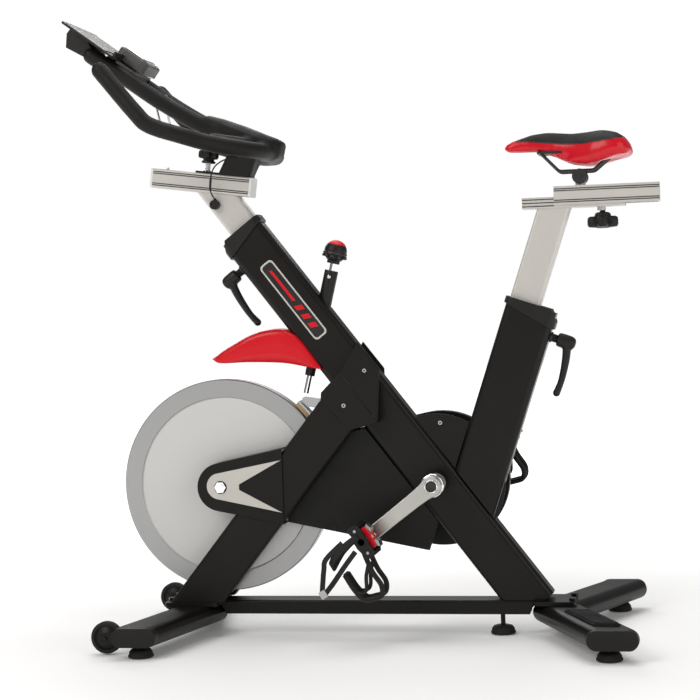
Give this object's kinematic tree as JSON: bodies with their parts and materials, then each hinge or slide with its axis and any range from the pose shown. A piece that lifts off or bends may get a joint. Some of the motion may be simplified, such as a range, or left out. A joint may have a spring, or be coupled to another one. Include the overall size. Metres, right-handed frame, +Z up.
{
  "type": "indoor spin bike",
  "caption": "Indoor exercise bike with a large front flywheel and belt drive, sliding saddle and handlebar posts, a push brake, toe-clip pedals and levelling feet.",
  "frame": {"origin": "on the floor, under the middle of the bike's box", "axes": "+Z up, -X towards the handlebar, +X towards the saddle, +Y towards the belt drive"},
  "size_m": [1.291, 0.62, 1.3662],
  "materials": {
    "black_paint": "satin black powder coat",
    "black_plastic": "fine grained black",
    "bright_steel": "bright plated",
    "crank_alloy": "polished silver",
    "felt": "tan felt",
    "grey_plastic": "satin grey",
    "grip_rubber": "dipped soft black grip",
    "lead_jacket": "black cable jacket",
    "plain_steel": "machined steel",
    "red_plastic": "glossy red",
    "rubber": "matt black rubber",
    "saddle_cover": "black vinyl top, red sides",
    "silver_paint": "satin silver paint",
    "wheel_iron": "silver lacquer with a machined rim",
    "white_plastic": "satin off-white"
  },
  "bodies": {
    "frame": {"main_tube": "black_paint", "seat_tube": "black_paint", "left_leg": "black_paint", "right_leg": "black_paint", "base_bar": "black_paint", "front_stabiliser": "black_paint", "rear_stabiliser": "black_paint", "stabiliser_caps": "black_plastic", "levelling_feet": "rubber", "step_pads": "rubber", "main_collar": "black_plastic", "seat_collar": "black_plastic", "joint_covers": "black_plastic", "hub_cover": "black_plastic", "guard_trims": "silver_paint", "guard_inner": "black_plastic", "guard_outer": "black_plastic", "fender": "red_plastic", "fasteners": "bright_steel", "hub_bearings": "plain_steel", "crank_bearings": "plain_steel", "brake_guide": "black_plastic", "drive_belt": "rubber"},
    "flywheel": {"flywheel": "wheel_iron", "flywheel_axle": "bright_steel", "flywheel_sprocket": "plain_steel"},
    "crank": {"crank_axle": "plain_steel", "crank_pulley": "black_plastic", "left_crank": "crank_alloy", "right_crank": "crank_alloy", "pedal_pins": "plain_steel"},
    "left_pedal": {"left_pedal": "black_plastic", "left_toe_clip": "black_plastic"},
    "right_pedal": {"right_pedal": "black_plastic", "right_toe_clip": "black_plastic"},
    "left_castor": {"left_castor": "rubber"},
    "right_castor": {"right_castor": "rubber"},
    "brake_rod": {"brake_rod": "bright_steel"},
    "brake_knob": {"brake_knob": "black_plastic"},
    "brake_arm": {"brake_arm": "plain_steel", "brake_pad": "felt"},
    "bar_post": {"bar_post": "silver_paint", "slider_caps": "white_plastic", "cable_plug": "black_plastic", "sensor_cable": "lead_jacket"},
    "handlebar": {"bar_stem": "grip_rubber", "outer_bar": "grip_rubber", "inner_bars": "grip_rubber", "bottle_cage": "bright_steel", "console": "grey_plastic", "tablet_tray": "black_plastic"},
    "bar_knob": {"bar_knob": "black_plastic"},
    "seat_post": {"seat_post": "silver_paint"},
    "seat_slider": {"seat_slider": "silver_paint"},
    "seat_knob": {"seat_knob": "black_plastic"},
    "saddle": {"saddle_clamp": "plain_steel", "saddle_rails": "plain_steel", "saddle_pad": "saddle_cover"},
    "bar_lever": {"bar_lever": "black_plastic"},
    "seat_lever": {"seat_lever": "black_plastic"}
  },
  "joints": [
    {"name": "flywheel_spin", "type": "hinge", "parent": "frame", "child": "flywheel", "pos_m": [-0.3195, 0, 0.332], "axis": [0, 1, 0], "continuous": true},
    {"name": "crank_spin", "type": "hinge", "parent": "frame", "child": "crank", "pos_m": [0.1535, 0, 0.333], "axis": [0, 1, 0], "continuous": true},
    {"name": "left_pedal_spin", "type": "hinge", "parent": "crank", "child": "left_pedal", "pos_m": [0.01845, -0.165, 0.22975], "axis": [0, 1, 0], "continuous": true},
    {"name": "right_pedal_spin", "type": "hinge", "parent": "crank", "child": "right_pedal", "pos_m": [0.28855, 0.165, 0.43625], "axis": [0, 1, 0], "continuous": true},
    {"name": "left_castor_spin", "type": "hinge", "parent": "frame", "child": "left_castor", "pos_m": [-0.5295, -0.245, 0.036], "axis": [0, 1, 0], "continuous": true},
    {"name": "right_castor_spin", "type": "hinge", "parent": "frame", "child": "right_castor", "pos_m": [-0.5295, 0.245, 0.036], "axis": [0, 1, 0], "continuous": true},
    {"name": "brake_push", "type": "slide", "parent": "frame", "child": "brake_rod", "axis": [0.2419, 0, 0.9703], "range_m": [-0.0025, 0], "stiffness_N_per_m": 3000, "springref_m": 0.006},
    {"name": "brake_knob_turn", "type": "hinge", "parent": "brake_rod", "child": "brake_knob", "pos_m": [-0.06098, 0, 0.82822], "axis": [0.2419, 0, 0.9703], "continuous": true},
    {"name": "brake_arm_swing", "type": "hinge", "parent": "frame", "child": "brake_arm", "pos_m": [-0.0865, 0, 0.505], "axis": [0, 1, 0], "range_deg": [-2.8, 0]},
    {"name": "bar_post_slide", "type": "slide", "parent": "frame", "child": "bar_post", "axis": [-0.6018, 0, 0.7986], "range_m": [-0.035, 0.1]},
    {"name": "handlebar_slide", "type": "slide", "parent": "bar_post", "child": "handlebar", "axis": [-0.9903, 0, 0.1392], "range_m": [-0.01, 0.065], "deforming": ["sensor_cable"]},
    {"name": "bar_knob_turn", "type": "hinge", "parent": "handlebar", "child": "bar_knob", "pos_m": [-0.34192, 0, 1.02847], "axis": [0.1392, 0, 0.9903], "continuous": true},
    {"name": "seat_post_slide", "type": "slide", "parent": "frame", "child": "seat_post", "axis": [0.3223, 0, 0.9466], "range_m": [-0.15, 0.08]},
    {"name": "seat_slide", "type": "slide", "parent": "seat_post", "child": "seat_slider", "axis": [1, 0, 0], "range_m": [-0.055, 0.06]},
    {"name": "seat_knob_turn", "type": "hinge", "parent": "seat_post", "child": "seat_knob", "pos_m": [0.5225, 0, 0.895], "axis": [0, 0, 1], "continuous": true},
    {"name": "saddle_tilt", "type": "hinge", "parent": "seat_slider", "child": "saddle", "pos_m": [0.4795, 0, 0.979], "axis": [0, 1, 0], "range_deg": [-8, 8]},
    {"name": "bar_lever_turn", "type": "hinge", "parent": "frame", "child": "bar_lever", "pos_m": [-0.27537, 0, 0.80243], "axis": [0.7986, 0, 0.6018], "range_deg": [-90, 90]},
    {"name": "seat_lever_turn", "type": "hinge", "parent": "frame", "child": "seat_lever", "pos_m": [0.41487, 0, 0.63675], "axis": [0.9466, 0, -0.3223], "range_deg": [-90, 90]}
  ],
  "couplings": [
    {"joint": "crank_spin", "follows": "flywheel_spin", "ratio": 0.2381},
    {"joint": "brake_arm_swing", "follows": "brake_push", "rad_per_m": 18.7}
  ]
}
